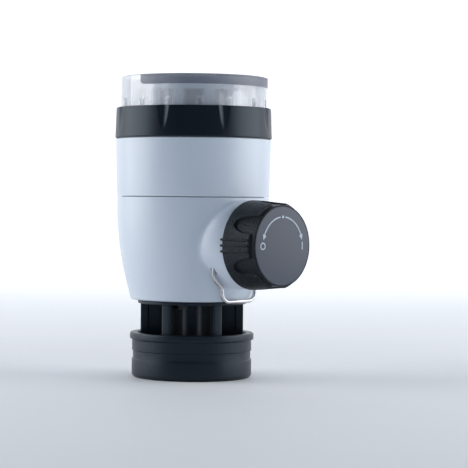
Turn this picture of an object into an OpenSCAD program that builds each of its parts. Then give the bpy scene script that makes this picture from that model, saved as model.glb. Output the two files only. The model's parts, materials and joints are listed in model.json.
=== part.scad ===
// Backwash valve and drain assembly of a whole-house water pre-filter.
// A clear filter bowl sits in a two-shell valve housing under a union nut.
// A quarter-turn ball valve with a side knob flushes the bowl down through
// an open air-gap cage into a drain foot that fits a standard waste pipe.
// +Z is up, the knob points along -Y, and the origin is the centre of the
// foot's underside. All sizes are in millimetres.

/* [Drain foot] */
// Outer radius of the foot, which stands inside a 75 mm waste pipe
foot_r = 35.1; // [30:0.1:44]
// Height of the foot
foot_h = 26.4; // [22:0.1:40]
// Wall of the foot
foot_wall = 3.1; // [2:0.1:5]
// How far the foot's rim stands out past its band
foot_lip = 1.2; // [0.6:0.1:3]
// Height of the foot's rim
foot_lip_h = 4.3; // [2.5:0.1:6]
// Height at which the foot's shallow groove starts
foot_groove_z = 10.8; // [5:0.1:12]
// Height of the shallow groove
foot_groove_h = 5; // [2:0.1:6]
// Depth of the shallow groove
foot_groove_d = 0.6; // [0.3:0.1:1.5]
// Radius of the socket for a 50 mm waste pipe
pipe_r = 25.1; // [20:0.1:27]
// Depth of the pipe socket
pipe_depth = 14; // [10:0.5:18]

/* [Air gap] */
// Open height between the foot's rim and the cage's flange
gap_h = 16.8; // [12:0.1:30]
// Outer radius of the cage's posts
cage_r = 30.1; // [26:0.1:31]
// Number of posts
post_count = 6; // [3:1:8]
// Width of a post
post_w = 5.5; // [3:0.1:8]
// Depth of a post, towards the axis
post_d = 4.8; // [3:0.1:6]
// Thickness of the rib behind a post
rib_t = 3; // [2:0.1:4]
// Distance of the ribs from the axis
rib_in_r = 13; // [11:0.1:20]
// Radius of the cage's top flange
cage_flange_r = 31.8; // [30:0.1:33]
// Thickness of the cage's top flange
cage_flange_h = 2; // [1.5:0.1:4]
// Outer radius of the drain nozzle
nozzle_r = 7; // [6.5:0.1:9]
// Wall of the drain nozzle
nozzle_wall = 2; // [1:0.1:2.5]

/* [Housing] */
// Radius of the housing at its seam
seam_r = 44.6; // [42:0.1:55]
// How much the housing narrows from the seam to its bottom
taper = 8.8; // [4:0.1:10]
// Wall of both shells
shell_wall = 2.6; // [2:0.1:4]
// Thickness of the lower shell's floor
floor_t = 3.2; // [2.5:0.1:5]
// Height of the upper shell above the seam
upper_h = 33.5; // [30:0.5:50]
// How much the upper shell widens from the seam to the nut
upper_flare = 0.8; // [0:0.1:1.2]
// Outer radius of the side boss
boss_r = 24.5; // [22:0.1:30]
// How far the boss reaches past the housing
boss_out = 3.6; // [2.5:0.1:8]
// Wall of the boss
boss_wall = 3.6; // [3:0.1:5]
// Height of the boss above the housing's bottom
boss_floor = 8.4; // [6.5:0.1:14]
// Radius of the tie screws' circle
tie_circle_r = 29; // [28:0.1:32]

/* [Valve] */
// Radius of the valve ball
ball_r = 13; // [11:0.1:14]
// Radius of the waterway
bore_r = 7.5; // [6:0.1:8]
// Radius of the valve stem
stem_r = 6; // [5:0.1:7]

/* [Union nut] */
// Outer radius of the nut at its bottom
nut_r = 46; // [45.6:0.1:50]
// Height of the nut
nut_h = 17.9; // [16:0.1:25]
// Number of finger scallops
scallops = 8; // [4:1:12]
// Width of a scallop at the top
scallop_w = 6.6; // [4:0.1:9]
// Height of a scallop
scallop_h = 10.5; // [6:0.1:12]

/* [Bowl] */
// Outer radius of the clear bowl
bowl_r = 42.9; // [38:0.1:42.9]
// Wall of the bowl
bowl_wall = 3; // [2.5:0.1:4]
// Height of the bowl above the nut
bowl_above = 18; // [14:0.5:80]
// Number of flutes round the bowl's foot
flutes = 15; // [8:1:18]
// Direction of the first flute
flute_start = 13.5; // [0:0.5:24]
// Height of the flutes above the nut
flute_rise = 5; // [3:0.5:8]
// Outer radius of the filter insert
insert_r = 23; // [18:0.1:26]

/* [Knob] */
// Length of the knob
knob_len = 22.8; // [20:0.1:32]
// How far the knob's lands stand out past the boss
knob_over = 1.1; // [0.5:0.1:3]
// How much the knob narrows from back to front
knob_taper = 1.1; // [0.5:0.1:2]
// Height of the raised lands between the finger recesses
land_h = 1.5; // [0.8:0.1:2]
// Number of finger recesses
recesses = 6; // [4:1:8]
// Width of a finger recess at the front
recess_w = 11; // [6:0.5:12]
// Length of a finger recess
recess_len = 14.5; // [8:0.5:16]

/* [Clip] */
// Radius of the retaining clip's wire
wire_r = 1.15; // [0.8:0.05:1.5]
// Half the width of the clip's pull loop
loop_half = 13.5; // [10:0.1:15]
// How far the loop hangs below the boss
loop_drop = 8.1; // [6:0.1:9]

/* [Hidden] */
$fn = 96;

// Clearances: fixed pieces, running shaft, and moving pieces that never touch
fit = 0.1;
run = 0.05;
gap = 0.3;
eps = 0.01;

// Heights of the stacked pieces, from the foot up
foot_in_r = foot_r - foot_wall;
cup_floor_z = pipe_depth;
cup_floor_t = 2;
cage_z = cup_floor_z + cup_floor_t;
cage_foot_h = 3;
flange_z = foot_h + gap_h;
housing_z = flange_z + cage_flange_h + gap;
knob_z = housing_z + boss_floor + boss_r;
seam_margin = 2.6;
seam_z = knob_z + boss_r + seam_margin;
seam_gap = 0.4;
upper_top_z = seam_z + upper_h + seam_gap / 2;
nut_z = upper_top_z + 0.4;
nut_top_z = nut_z + nut_h;
bowl_top_z = nut_top_z + bowl_above;

// Lower shell
base_r = seam_r - taper;
shell_h = seam_z - housing_z;
shell_power = 2.2;
corner_r = 2.4;
boss_w = seam_r + boss_out;
socket_r = boss_r - boss_wall;
boss_fillet = 8;
chamber_r = ball_r + 0.6;
trunk_r = chamber_r + 3.9;
trunk_top_z = seam_z - 1;
bonnet_in_w = chamber_r + 10.6;
register_h = 2;
register_t = 2.5;
tie_angles = [35, 145, 215, 325];
tie_r = 2;
tie_head_r = 3.8;
tie_post_r = 4.2;

// Valve
nozzle_collar_r = 11.8;
seat_near = 8;
seat_far = ball_r + 2.2;
seat_r = nozzle_collar_r - 0.4;
neck_z = knob_z + seat_far + fit;
groove_w = 2.3;
seal_r = 0.95;
tongue_t = 4;
tongue_h = 11;
stem_collar_r = stem_r + 2;
stem_w0 = ball_r + 1.2;
stem_collar_w = stem_w0 + 4;
square_w = boss_w + 2.8;
square_a = 8.2;
screw_r = 1.95;
thread_r = 2;
stop_r = 13.5;
stop_pin_r = 1.6;
stop_from = 45;
stop_turn = 90;

// Clip and the bonnet's groove that it locks
clip_w = base_r + wire_r + 0.65;
groove_floor_r = socket_r - 1.9;
clip_leg = groove_floor_r + wire_r + 0.35;
clip_arc_r = boss_r + 3.1;
clip_arc_from = acos(clip_leg / clip_arc_r);
clip_arc_to = 57;
clip_corner_r = 4;
clip_top = 8;
clip_bottom = boss_r + loop_drop;

// Bowl and union nut
collar_r = bowl_r + 1.1;
collar_h = 5.8;
flange_h = 3.3;
bowl_flange_z = upper_top_z + collar_h;
bowl_in_r = bowl_r - bowl_wall;
spigot_r = bowl_r - 2.6;
spigot_depth = 13;
slip_z = bowl_flange_z + flange_h + 0.2;
slip_h = 1.2;
lip_z = slip_z + slip_h + 0.2;
nut_in_r = collar_r + gap;
nut_lip_r = bowl_r + gap;
nut_top_r = nut_r - 0.6;
ledge_z = bowl_flange_z - spigot_depth - 6;
rim_h = 3;

// Funnel
funnel_slope = 0.754;
funnel_rim_r = spigot_r - fit;
funnel_in_r = funnel_rim_r - 2.2;
funnel_low_z = ledge_z + rim_h - (funnel_in_r - bore_r) * funnel_slope;

// Filter insert
base_top_z = ledge_z + 8;
insert_top_z = bowl_top_z - 4.5;
insert_wall = 1.6;
mesh_t = 0.4;
insert_spigot_r = insert_r - 3;

// Knob
knob_back_w = boss_w + 0.4;
knob_front_w = knob_back_w + knob_len;
land_back_r = boss_r + knob_over;
core_back_r = land_back_r - land_h;
core_front_r = core_back_r - knob_taper;
land_front_r = land_back_r - knob_taper;
land_len = knob_len - 2.5;
rim_t = 0.75;
face_r = core_front_r - rim_t;
face_t = 2.1;
web_t = 3.2;
web_w = knob_front_w - face_t - fit - web_t;
hub_r = 9;
hub_flange_r = stop_r + 2.3;
hub_w = boss_w - 0.9;
bonnet_out_w = hub_w - 0.4;
mark_r = 16.3;
mark_t = 0.12;

// Points of an arc round (cx, cy), from one angle to the other
function arc_points(cx, cy, r, from, to, steps = 8) =
    [for (i = [0:steps]) let (a = from + (to - from) * i / steps)
        [cx + r * cos(a), cy + r * sin(a)]];

// Outer radius of the lower shell at a height above its bottom
function shell_r(h) = seam_r - taper * pow(1 - min(h / shell_h, 1), shell_power);

// Inner radius of the funnel's cone at a height
function cone_r(z) = bore_r + (z - funnel_low_z) / funnel_slope;

module tube(r_out, r_in, z0, z1) {
    translate([0, 0, z0]) difference() {
        cylinder(r = r_out, h = z1 - z0);
        translate([0, 0, -1]) cylinder(r = r_in, h = z1 - z0 + 2);
    }
}

module rod(r, z0, z1) {
    translate([0, 0, z0]) cylinder(r = r, h = z1 - z0);
}

module seal(r_mid, z, section = seal_r) {
    translate([0, 0, z]) rotate_extrude() translate([r_mid, 0]) circle(r = section);
}

// Puts +Z of what is inside it along the knob's axis, out of the boss
module on_knob_axis() {
    translate([0, 0, knob_z]) rotate([90, 0, 0]) children();
}

module around(count, start = 0) {
    for (i = [0:count - 1]) rotate([0, 0, start + 360 * i / count]) children();
}

// ---- Drain foot and air gap ----

module drain_cup() {
    band_r = foot_r;
    lip_r = foot_r + foot_lip;
    lip_z = foot_h - foot_lip_h;
    edge = 0.9;
    socket_wall = 2.6;
    color("#23272d") difference() {
        rotate_extrude() polygon(concat(
            [[pipe_r, 0]],
            arc_points(band_r - corner_r, corner_r, corner_r, -90, 0),
            [[band_r, foot_groove_z], [band_r - foot_groove_d, foot_groove_z],
             [band_r - foot_groove_d, foot_groove_z + foot_groove_h],
             [band_r, foot_groove_z + foot_groove_h], [band_r, lip_z]],
            arc_points(lip_r - edge, lip_z + edge, edge, -90, 0, 4),
            arc_points(lip_r - edge, foot_h - edge, edge, 0, 90, 4),
            [[foot_in_r, foot_h], [foot_in_r, cage_z], [pipe_r - 3, cage_z],
             [pipe_r - 3, cup_floor_z], [pipe_r, cup_floor_z]]));
        // Open space between the socket and the band, crossed by ribs
        difference() {
            tube(foot_in_r, pipe_r + socket_wall, -1, cup_floor_z - 2);
            around(6) translate([pipe_r, -1, 0]) cube([foot_wall + 6, 2, cup_floor_z]);
        }
    }
}

module airgap_cage() {
    color("#1d2126") difference() {
        union() {
            tube(foot_in_r - fit, cage_r - post_d, cage_z + eps, cage_z + cage_foot_h);
            rod(cage_flange_r, flange_z, flange_z + cage_flange_h);
            intersection() {
                tube(cage_r, cage_r - post_d, cage_z + 1, flange_z + 1);
                around(post_count, 15)
                    translate([0, -post_w / 2, 0]) cube([cage_r + 1, post_w, flange_z + 2]);
            }
            around(post_count, 15) translate([rib_in_r, -rib_t / 2, foot_h - 1.4])
                cube([cage_r - post_d / 2 - rib_in_r, rib_t, flange_z + 2 - foot_h]);
        }
        rod(nozzle_collar_r + gap, flange_z - 1, flange_z + cage_flange_h + 1);
        cage_screw_places() rod(screw_r + 0.2, -1, cage_flange_h + 1);
    }
}

// Three screws through the cage's flange, into the housing's floor
module cage_screw_places() {
    around(3, 90) translate([trunk_r + 5, 0, flange_z]) children();
}

module cage_screws() {
    color("silver") cage_screw_places() difference() {
        union() {
            rod(screw_r, -0.5, 8.5);
            rod(3.6, -2.4, -fit);
        }
        rod(1.5, -3, -1.2, $fn = 6);
    }
}

module drain_nozzle() {
    collar_z = housing_z + 2;
    top_z = knob_z - seat_far - fit;
    color("#2a2e33") difference() {
        union() {
            rod(nozzle_r, foot_h - 2.4, collar_z + 1);
            rod(nozzle_collar_r, collar_z, top_z);
        }
        rod(nozzle_r - nozzle_wall, foot_h - 4, top_z + 1);
        translate([0, 0, top_z - 4])
            cylinder(r1 = nozzle_r - nozzle_wall, r2 = bore_r, h = 4 + eps);
        nozzle_groove();
    }
}

nozzle_seal_z = housing_z + 10;

module nozzle_groove() {
    tube(nozzle_collar_r + 1, nozzle_collar_r - 1.85, nozzle_seal_z - groove_w / 2,
         nozzle_seal_z + groove_w / 2);
}

module nozzle_seal() {
    color("#151515") seal(nozzle_collar_r - 0.85, nozzle_seal_z, 0.93);
}

// ---- Housing ----

// Outside of the lower shell, rounded at its bottom edge
module shell_outside() {
    steps = 22;
    top = seam_z - seam_gap / 2;
    translate([0, 0, housing_z]) rotate_extrude() polygon(concat(
        [[0, 0]],
        arc_points(shell_r(corner_r) - corner_r, corner_r, corner_r, -90, 0, 6),
        [for (i = [1:steps]) let (h = corner_r + (top - housing_z - corner_r) * i / steps)
            [shell_r(h), h]],
        [[0, top - housing_z]]));
}

module shell_inside() {
    steps = 12;
    low = floor_t;
    translate([0, 0, housing_z]) rotate_extrude() polygon(concat(
        [[0, low]],
        [for (i = [0:steps]) let (h = low + (shell_h - low) * i / steps)
            [shell_r(h) - shell_wall, h]],
        [[seam_r - shell_wall, shell_h + 2], [0, shell_h + 2]]));
}

// The boss, with a hollow curve where it runs out into the shell
module boss_outside() {
    foot_w = boss_w - 7.2;
    curve = [for (i = [0:8]) let (a = 60 * i / 8)
        [boss_r + boss_fillet * (1 - cos(a)), foot_w - boss_fillet * sin(a)]];
    last = curve[8];
    on_knob_axis() rotate_extrude() polygon(concat(
        [[0, boss_w], [boss_r - 0.5, boss_w], [boss_r, boss_w - 0.5]],
        curve, [[last[0], last[1] - 3], [0, last[1] - 3]]));
}

module tie_places(z) {
    for (a = tie_angles) rotate([0, 0, a]) translate([tie_circle_r, 0, z]) children();
}

// Waterway, ball chamber and screw posts inside the lower shell
module valve_core() {
    rod(trunk_r, housing_z, trunk_top_z);
    on_knob_axis() {
        rod(trunk_r, -trunk_r, bonnet_in_w);
        rod(boss_r, bonnet_in_w - 2.2, boss_w);
    }
    tie_places(housing_z) rod(tie_post_r, 0, seam_z - housing_z - seam_gap / 2);
    cage_screw_places() rod(4, cage_flange_h + 1, 13);
    for (a = [0, 90, 180]) rotate([0, 0, a])
        translate([trunk_r - 2, -1.2, housing_z]) cube([seam_r - trunk_r, 2.4, shell_h - 8]);
}

module valve_housing() {
    color("#dfe8f2") difference() {
        union() {
            shell_outside();
            boss_outside();
        }
        difference() {
            shell_inside();
            valve_core();
        }
        rod(nozzle_collar_r + fit, housing_z - 1, knob_z);
        rod(seat_r + fit, knob_z, trunk_top_z + 1);
        on_knob_axis() {
            rod(chamber_r, -chamber_r, bonnet_in_w + 1);
            rod(socket_r, bonnet_in_w, boss_w + 1);
            for (side = [-1, 1]) clip_slot(side);
        }
        tie_places(housing_z) {
            rod(tie_head_r + 0.3, -1, floor_t + 0.3);
            rod(tie_r + 0.2, 0, shell_h + 1);
        }
        cage_screw_places() rod(thread_r, 1, 9.5);
    }
}

// Slot that one leg of the clip slides in
module clip_slot(side) {
    half = wire_r + gap + 0.05;
    translate([side * clip_leg - half, -boss_r - 6, clip_w - half])
        cube([2 * half, boss_r + 6 + clip_top + 1, 2 * half]);
}

module tie_screws() {
    reach = seam_z + 6.2;
    color("silver") tie_places(0) difference() {
        union() {
            rod(tie_head_r, housing_z + 0.3, housing_z + floor_t);
            rod(tie_r - run, housing_z + floor_t - 1, reach);
        }
        rod(1.8, housing_z, housing_z + 2, $fn = 6);
    }
}

module bowl_housing() {
    z0 = seam_z + seam_gap / 2;
    top_r = seam_r + 0.2 + upper_flare;
    in_r = seam_r + 0.2 - shell_wall;
    part_t = 2.6;
    ledge_r = funnel_in_r + 0.5;
    reg_r = seam_r - shell_wall - 0.25;
    register_z = seam_z - register_h;
    color("#e2eaf3") difference() {
        union() {
            rotate_extrude() polygon([
                [reg_r - register_t, register_z], [reg_r, register_z], [reg_r, z0],
                [seam_r + 0.2, z0], [top_r, upper_top_z - 0.4], [top_r - 0.4, upper_top_z],
                [collar_r, upper_top_z], [collar_r, bowl_flange_z - 0.5],
                [collar_r - 0.4, bowl_flange_z - fit], [spigot_r + fit, bowl_flange_z - fit],
                [spigot_r + fit, ledge_z], [ledge_r, ledge_z], [ledge_r, ledge_z - 2.5],
                [in_r, ledge_z - 6], [in_r, z0 + part_t],
                [trunk_r + 4, z0 + part_t], [trunk_r + 4, z0], [reg_r - register_t, z0]]);
            tie_places(z0) rod(tie_post_r, part_t - 1, part_t + 5);
        }
        tie_places(z0) rod(tie_r, -1, part_t + 4);
    }
}

// Funnel that gathers dirt from the bowl and leads it to the ball
module dirt_funnel() {
    rim_z = ledge_z + fit;
    neck_r = seat_r - fit;
    cone_out = funnel_in_r + 0.2;
    cone_low_z = rim_z - (cone_out - neck_r) * funnel_slope;
    color("#3a4048") difference() {
        rotate_extrude() polygon([
            [bore_r, neck_z], [neck_r, neck_z], [neck_r, cone_low_z], [cone_out, rim_z],
            [funnel_rim_r, rim_z], [funnel_rim_r, rim_z + rim_h],
            [funnel_in_r, ledge_z + rim_h], [bore_r, funnel_low_z]]);
        tube(neck_r + 1, neck_r - 1.8, neck_seal_z - groove_w / 2, neck_seal_z + groove_w / 2);
        tube(funnel_rim_r + 1, funnel_rim_r - 1.7, rim_seal_z - 1.1, rim_seal_z + 1.1);
    }
}

neck_seal_z = neck_z + 5;
rim_seal_z = ledge_z + 1.6;

module funnel_seals() {
    color("#151515") {
        seal(seat_r - 0.85, neck_seal_z, 0.9);
        seal(funnel_rim_r - 0.8, rim_seal_z, 0.85);
    }
}

// ---- Quarter-turn ball valve ----

module ball_seats() {
    color("white") difference() {
        union() {
            tube(seat_r, bore_r, knob_z + seat_near, knob_z + seat_far);
            tube(seat_r, bore_r, knob_z - seat_far, knob_z - seat_near);
        }
        translate([0, 0, knob_z]) sphere(r = ball_r + fit);
    }
}

// The ball closes the waterway at rest: its bore lies across, along X
module valve_ball() {
    slot_t = tongue_t + 0.3;
    color("gainsboro") on_knob_axis() difference() {
        sphere(r = ball_r);
        rotate([0, 90, 0]) cylinder(r = bore_r, h = 3 * ball_r, center = true);
        translate([-slot_t / 2, -ball_r, ball_r - 3.6]) cube([slot_t, 2 * ball_r, 5]);
    }
}

module valve_stem() {
    tip_w = ball_r - 3.4;
    color("#b9924a") on_knob_axis() difference() {
        union() {
            rod(stem_r, stem_w0, square_w);
            rod(stem_collar_r, stem_w0, stem_collar_w);
            translate([-tongue_t / 2, -tongue_h / 2, tip_w])
                cube([tongue_t, tongue_h, stem_w0 - tip_w + 0.5]);
            translate([-square_a / 2, -square_a / 2, square_w - 0.5])
                cube([square_a, square_a, web_w - 3 - square_w + 0.5]);
        }
        rod(thread_r, web_w - 14, web_w + 1);
        for (w = stem_seal_places) tube(stem_r + 1, stem_r - 1.85, w - 1.1, w + 1.1);
    }
}

stem_seal_places = [stem_collar_w + 6, stem_collar_w + 12];

module stem_seals() {
    color("#151515") on_knob_axis() for (w = stem_seal_places) seal(stem_r - 0.9, w, 0.9);
}

bonnet_seal_w = bonnet_in_w + 4;

module valve_bonnet() {
    nose_w = stem_w0 - 0.7;
    groove_half = wire_r + gap;
    stop_floor = bonnet_out_w - 2.6;
    color("#4a4f56") on_knob_axis() difference() {
        union() {
            rod(chamber_r - 0.15, nose_w, bonnet_in_w + 1);
            rod(socket_r - fit, bonnet_in_w + 0.2, bonnet_out_w);
        }
        rod(stem_r + run, nose_w - 1, bonnet_out_w + 1);
        rod(stem_collar_r + gap, nose_w - 1, stem_collar_w + gap);
        tube(socket_r + 1, groove_floor_r, clip_w - groove_half, clip_w + groove_half);
        tube(socket_r + 1, socket_r - 2.2, bonnet_seal_w - 1.25, bonnet_seal_w + 1.25);
        // Quarter-turn slot that the knob's stop pin runs in
        rotate([0, 0, stop_from]) translate([0, 0, stop_floor])
            rotate_extrude(angle = stop_turn) translate([stop_r - stop_pin_r - 0.4, 0])
                square([2 * stop_pin_r + 0.8, 4]);
        for (a = [stop_from, stop_from + stop_turn]) rotate([0, 0, a])
            translate([stop_r, 0, 0]) rod(stop_pin_r + 0.4, stop_floor, bonnet_out_w + 1);
    }
}

module bonnet_seal() {
    color("#151515") on_knob_axis() seal(socket_r - 1.1, bonnet_seal_w, 1.05);
}

// ---- Knob ----

// Outline of a finger recess: a long half ellipse whose tip points back
module recess_outline() {
    polygon(concat(
        [for (i = [-8:8]) let (a = 90 * i / 8)
            [recess_w / 2 * sin(a), recess_len * (1 - cos(a))]],
        [[recess_w / 2 + 0.6, recess_len + 6], [-recess_w / 2 - 0.6, recess_len + 6]]));
}

module knob_body() {
    edge = 0.5;
    recess_w0 = knob_back_w + land_len - recess_len + 0.4;
    color("#1b1e22") on_knob_axis() difference() {
        union() {
            difference() {
                knob_lands();
                difference() {
                    around(recesses, 180 / recesses) translate([0, 0, recess_w0])
                        rotate([90, 0, 90]) linear_extrude(height = 2 * boss_r) recess_outline();
                    knob_core(edge);
                }
            }
            knob_core(edge);
            for (a = [-7.5, 0, 7.5], side = [0, 180]) rotate([0, 0, a + side]) grip_rib();
        }
        // Hollow back, open for the boss and the hub
        difference() {
            translate([0, 0, knob_back_w - 1.5])
                cylinder(r1 = core_back_r - 1.9, r2 = core_front_r - 2, h = web_w - knob_back_w + 1.5);
            knob_hub();
        }
        rod(face_r + fit, knob_front_w - face_t - fit, knob_front_w + 1);
        rod(stem_r + gap, hub_w - 1, square_w + fit);
        translate([-square_a / 2 - 0.15, -square_a / 2 - 0.15, square_w])
            cube([square_a + 0.3, square_a + 0.3, web_w - 2.8 - square_w]);
        rod(screw_r + 0.2, web_w - 3, knob_front_w);
        rod(4.1, web_w + 1, knob_front_w);
        face_pin_places() rod(1.5, web_w - 1, knob_front_w);
    }
    color("#1b1e22") on_knob_axis() hub_front();
}

// Raised skin that the finger recesses cut into lands
module knob_lands() {
    round_r = 0.8;
    front = knob_back_w + land_len;
    rotate_extrude() polygon(concat(
        [[core_front_r - 2, knob_back_w], [land_back_r - 0.5, knob_back_w],
         [land_back_r, knob_back_w + 0.5]],
        arc_points(land_front_r - round_r, front - round_r, round_r, 0, 90, 4),
        [[core_front_r - 2, front]]));
}

module knob_core(edge) {
    rotate_extrude() polygon([
        [0, knob_back_w], [core_back_r, knob_back_w], [core_front_r, knob_front_w - edge],
        [core_front_r - edge, knob_front_w], [0, knob_front_w]]);
}

module grip_rib() {
    start = knob_back_w - 1;
    run_w = land_len - 0.4;
    tilt = atan(knob_taper / land_len);
    translate([land_back_r - 0.1, 0, start]) rotate([0, -tilt, 0])
        rod(0.55, 0, run_w);
}

module knob_hub() {
    rod(hub_r, knob_back_w - 2, web_w + 1);
    rod(hub_flange_r, knob_back_w - 2, hub_w + 2.4);
}

// The part of the hub that reaches back into the boss, with the stop pin
module hub_front() {
    difference() {
        union() {
            rod(hub_r, hub_w, knob_back_w + 2);
            rod(hub_flange_r, hub_w, hub_w + 2.4);
            rotate([0, 0, stop_from + stop_turn]) translate([stop_r, 0, 0])
                rod(stop_pin_r, bonnet_out_w - 2.2, hub_w + 1);
        }
        rod(stem_r + gap, hub_w - 1, square_w + fit);
    }
}

module face_pin_places() {
    around(3, 90) translate([15, 0, 0]) children();
}

module knob_face() {
    back = knob_front_w - face_t;
    color("#566072") on_knob_axis() difference() {
        union() {
            rod(face_r, back, knob_front_w - 0.3);
            translate([0, 0, knob_front_w - 0.3])
                cylinder(r1 = face_r, r2 = face_r - 0.3, h = 0.3);
            face_pin_places() rod(1.35, back - 2, back + 0.5);
        }
        rod(4.2, back - 1, back + 0.6);
    }
}

// Index dot, two turning arrows, a ring for closed and a bar for open
module knob_marks() {
    line = 0.8;
    arrow_from = 22;
    arrow_tip = 12;
    color("#e6edf5") on_knob_axis() translate([0, 0, knob_front_w + eps]) {
        translate([0, mark_r, 0]) cylinder(r = 0.85, h = mark_t);
        for (side = [0, 1]) mirror([side, 0, 0]) {
            rotate([0, 0, arrow_from]) rotate_extrude(angle = 83 - arrow_from)
                translate([mark_r - line / 2, 0]) square([line, mark_t]);
            linear_extrude(height = mark_t) polygon([
                [(mark_r - 1.5) * cos(arrow_from + 0.6), (mark_r - 1.5) * sin(arrow_from + 0.6)],
                [mark_r * cos(arrow_tip), mark_r * sin(arrow_tip)],
                [(mark_r + 1.5) * cos(arrow_from + 0.6), (mark_r + 1.5) * sin(arrow_from + 0.6)]]);
        }
        translate([-mark_r, 0, 0]) tube(2.1, 1.4, 0, mark_t);
        translate([mark_r - 0.4, -2.2, 0]) cube([0.8, 4.4, mark_t]);
    }
}

module knob_screw() {
    color("silver") on_knob_axis() difference() {
        union() {
            rod(screw_r, web_w - 12, web_w + 1.5);
            rod(3.6, web_w + 1 + fit, knob_front_w - face_t);
        }
        rod(1.5, knob_front_w - face_t - 1.4, knob_front_w, $fn = 6);
    }
}

// ---- Retaining clip ----

// Points of a soft corner at b, starting and ending a distance k from it
function soft(a, b, c, k, steps = 4) =
    let (p = b + k * (a - b) / norm(a - b), q = b + k * (c - b) / norm(c - b))
    [for (i = [0:steps]) let (t = i / steps) (1 - t) * (1 - t) * p + 2 * t * (1 - t) * b + t * t * q];

// Centre line of the clip's right half, from the leg's top down to the loop's bottom
function clip_half() =
    let (
        arc = arc_points(0, 0, clip_arc_r, -clip_arc_from - 6, -clip_arc_to, 4),
        knee = clip_arc_r * [cos(clip_arc_from), -sin(clip_arc_from)],
        hip = arc[4],
        ankle = [loop_half, hip[1] - (hip[0] - loop_half) * 0.8],
        bend = [loop_half - clip_corner_r, clip_corner_r - clip_bottom]
    )
    concat([[clip_leg, clip_top]], soft([clip_leg, clip_top], knee, arc[0], 2), arc,
        soft(hip, ankle, [loop_half, bend[1]], 1.2),
        arc_points(bend[0], bend[1], clip_corner_r, 0, -90));

// Round wire of radius r along a flat path, as one closed solid
module flat_sweep(path, r, sides = 20) {
    last = len(path) - 1;
    points = [for (i = [0:last])
        let (d = path[min(i + 1, last)] - path[max(i - 1, 0)], n = [-d[1], d[0]] / norm(d))
        for (k = [0:sides - 1]) let (t = 360 * k / sides)
            [path[i][0] + r * cos(t) * n[0], path[i][1] + r * cos(t) * n[1], r * sin(t)]];
    walls = [for (i = [0:last - 1], k = [0:sides - 1])
        let (a = i * sides + k, b = i * sides + (k + 1) % sides)
        [b, a, a + sides, b + sides]];
    polyhedron(points, concat(walls,
        [[for (k = [0:sides - 1]) k], [for (k = [sides - 1:-1:0]) last * sides + k]]));
}

module retaining_clip() {
    right = clip_half();
    count = len(right);
    left = [for (p = right) [-p[0], p[1]]];
    color("silver") on_knob_axis() translate([0, 0, clip_w])
        flat_sweep(concat(right, [for (i = [1:count]) left[count - i]]), wire_r);
}

// ---- Bowl, union nut and filter insert ----

module clear_bowl() {
    flute_z = nut_top_z + flute_rise;
    flute_r = 2.1;
    foot_z = bowl_flange_z - spigot_depth;
    color("#c9d3dd", 0.4) difference() {
        rotate_extrude() polygon([
            [spigot_r - 2.6, foot_z], [spigot_r - 0.6, foot_z], [spigot_r, foot_z + 0.6],
            [spigot_r, bowl_flange_z], [collar_r, bowl_flange_z],
            [collar_r, bowl_flange_z + flange_h], [bowl_r, bowl_flange_z + flange_h],
            [bowl_r, bowl_top_z - 0.3], [bowl_r - 0.3, bowl_top_z],
            [bowl_in_r + 0.3, bowl_top_z], [bowl_in_r, bowl_top_z - 0.3],
            [bowl_in_r, bowl_flange_z + flange_h + 2],
            [spigot_r - 2.6, bowl_flange_z - 2]]);
        around(flutes, flute_start) translate([bowl_r + 0.55, 0, 0]) {
            rod(flute_r, lip_z, flute_z - flute_r);
            translate([0, 0, flute_z - flute_r]) sphere(r = flute_r);
        }
        tube(spigot_r + 1, spigot_r - 1.9, bowl_seal_z - 1.2, bowl_seal_z + 1.2);
    }
}

bowl_seal_z = bowl_flange_z - spigot_depth + 5;

module bowl_seal() {
    color("#151515") seal(spigot_r + fit - 0.98, bowl_seal_z, 0.95);
}

// Band round the bowl, whose corners are rounded
module bowl_label() {
    label_t = 0.4;
    from_angle = 180;
    span = 200;
    band_h = 5.6;
    band_top = bowl_top_z - 0.3;
    band_r = bowl_r + 0.06;
    color("#5d6370", 0.7) rotate([0, 0, from_angle]) rotate_extrude(angle = span)
        translate([band_r, band_top - band_h]) square([label_t, band_h]);
}

module slip_ring() {
    color("white") tube(collar_r, nut_lip_r, slip_z, slip_z + slip_h);
}

module union_nut() {
    low = 0.8;
    high = 0.5;
    cutter_r = 4.5;
    depth = cutter_r - sqrt(cutter_r * cutter_r - scallop_w * scallop_w / 4);
    color("#17191c") difference() {
        rotate_extrude() polygon(concat(
            [[nut_in_r, nut_z]],
            arc_points(nut_r - low, nut_z + low, low, -90, 0, 4),
            arc_points(nut_top_r - high, nut_top_z - high, high, 0, 90, 4),
            [[nut_lip_r, nut_top_z], [nut_lip_r, lip_z], [nut_in_r, lip_z]]));
        around(scallops, 22.5)
            translate([nut_top_r + cutter_r - depth, 0, nut_top_z])
                rotate([0, -atan(depth / scallop_h), 0])
                    rod(cutter_r, -scallop_h - 1, 4);
    }
}

module filter_base() {
    color("#cfd4da") {
        difference() {
            union() {
                tube(insert_r, insert_r - 5, base_top_z - 5, base_top_z);
                around(4, 45) rotate([90, 0, 0]) translate([0, 0, -1])
                    linear_extrude(height = 2) fin_outline();
            }
            rod(insert_r - 5, base_top_z - 4, base_top_z + 1);
        }
    }
}

// A fin whose lower edge lies on the funnel's cone
module fin_outline() {
    in_z = base_top_z - 4.5;
    inner = 5;
    outer = insert_r + 6;
    lift = 0.15;
    polygon([
        [inner, in_z], [inner, funnel_low_z + 4], [cone_r(funnel_low_z + 4) - 1, funnel_low_z + 4],
        [outer - 0.2, funnel_low_z + (outer - bore_r) * funnel_slope + lift], [outer - 0.2, in_z]]);
}

module filter_frame() {
    window_h = insert_top_z - base_top_z - 6;
    color("#b8bec6") difference() {
        tube(insert_r, insert_r - insert_wall, base_top_z + eps, insert_top_z - eps);
        around(8) translate([0, -5.5, base_top_z + 3])
            cube([insert_r + 1, 11, window_h]);
    }
}

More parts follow.
